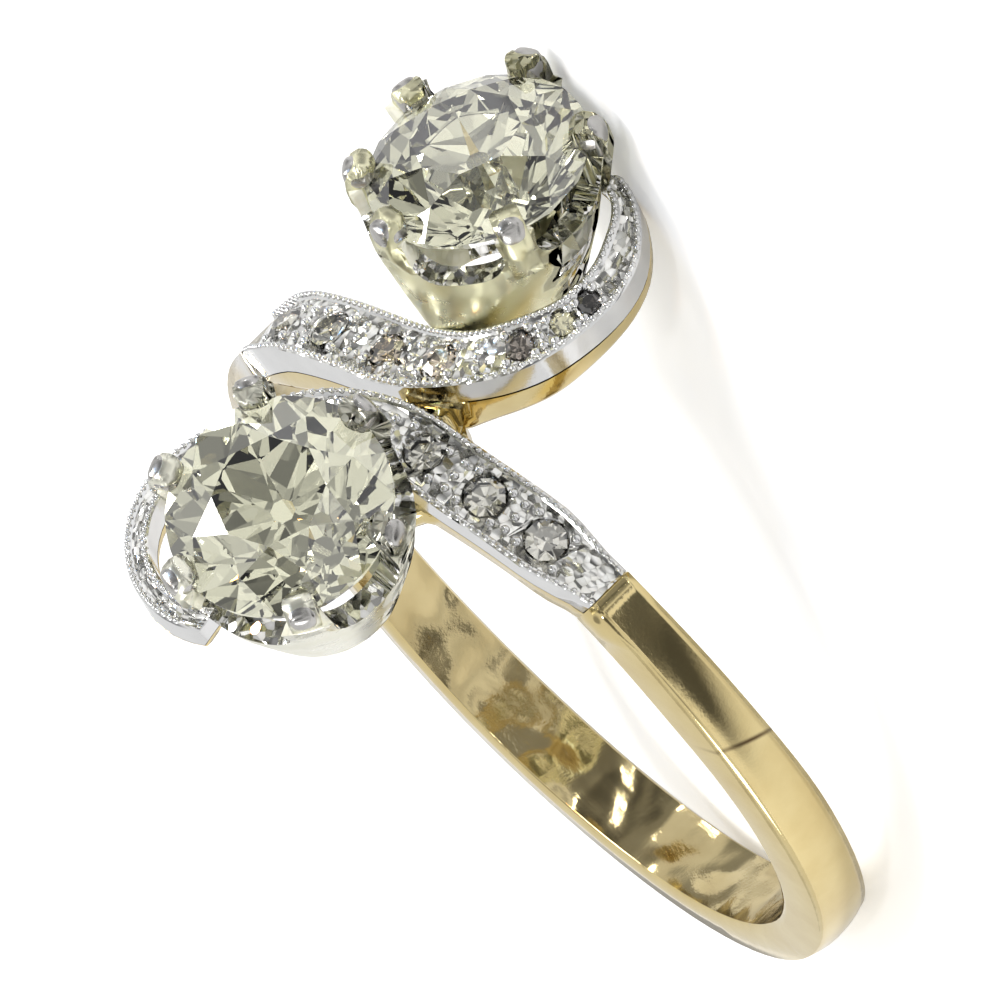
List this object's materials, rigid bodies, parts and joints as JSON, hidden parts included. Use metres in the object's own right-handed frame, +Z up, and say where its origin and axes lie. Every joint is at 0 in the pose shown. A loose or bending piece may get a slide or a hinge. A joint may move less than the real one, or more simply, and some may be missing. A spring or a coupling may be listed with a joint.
{
  "type": "toi et moi ring",
  "caption": "Antique two-stone ring with open claw collets between curling diamond-set shoulders on a slim gold band, lying on its side.",
  "frame": {"origin": "middle of the bounding box at the table that the ring lies on", "axes": "+Z up, +Y towards the head with its two stones, +X to the right of the head; the ring lies on its side, on its upper collet and the edge of its band"},
  "size_m": [0.0194, 0.0247, 0.0141],
  "materials": {
    "yellow_gold": "polished, lightly scratched",
    "platinum": "polished, bright-cut",
    "main_diamond": "faceted",
    "small_diamond": "faceted",
    "tinted_diamond": "faceted"
  },
  "bodies": {
    "root": {"shank": "yellow_gold", "near_plate": "platinum", "far_plate": "platinum", "lower_collet": "platinum", "upper_collet": "platinum", "lower_diamond": "main_diamond", "upper_diamond": "main_diamond", "near_stone_1": "small_diamond", "near_stone_2": "small_diamond", "near_stone_3": "small_diamond", "near_stone_4": "small_diamond", "near_stone_5": "small_diamond", "near_stone_6": "small_diamond", "far_stone_1": "small_diamond", "far_stone_2": "small_diamond", "far_stone_3": "small_diamond", "far_stone_4": "small_diamond", "far_stone_5": "tinted_diamond", "far_stone_6": "tinted_diamond", "far_stone_7": "tinted_diamond"}
  },
  "joints": []
}
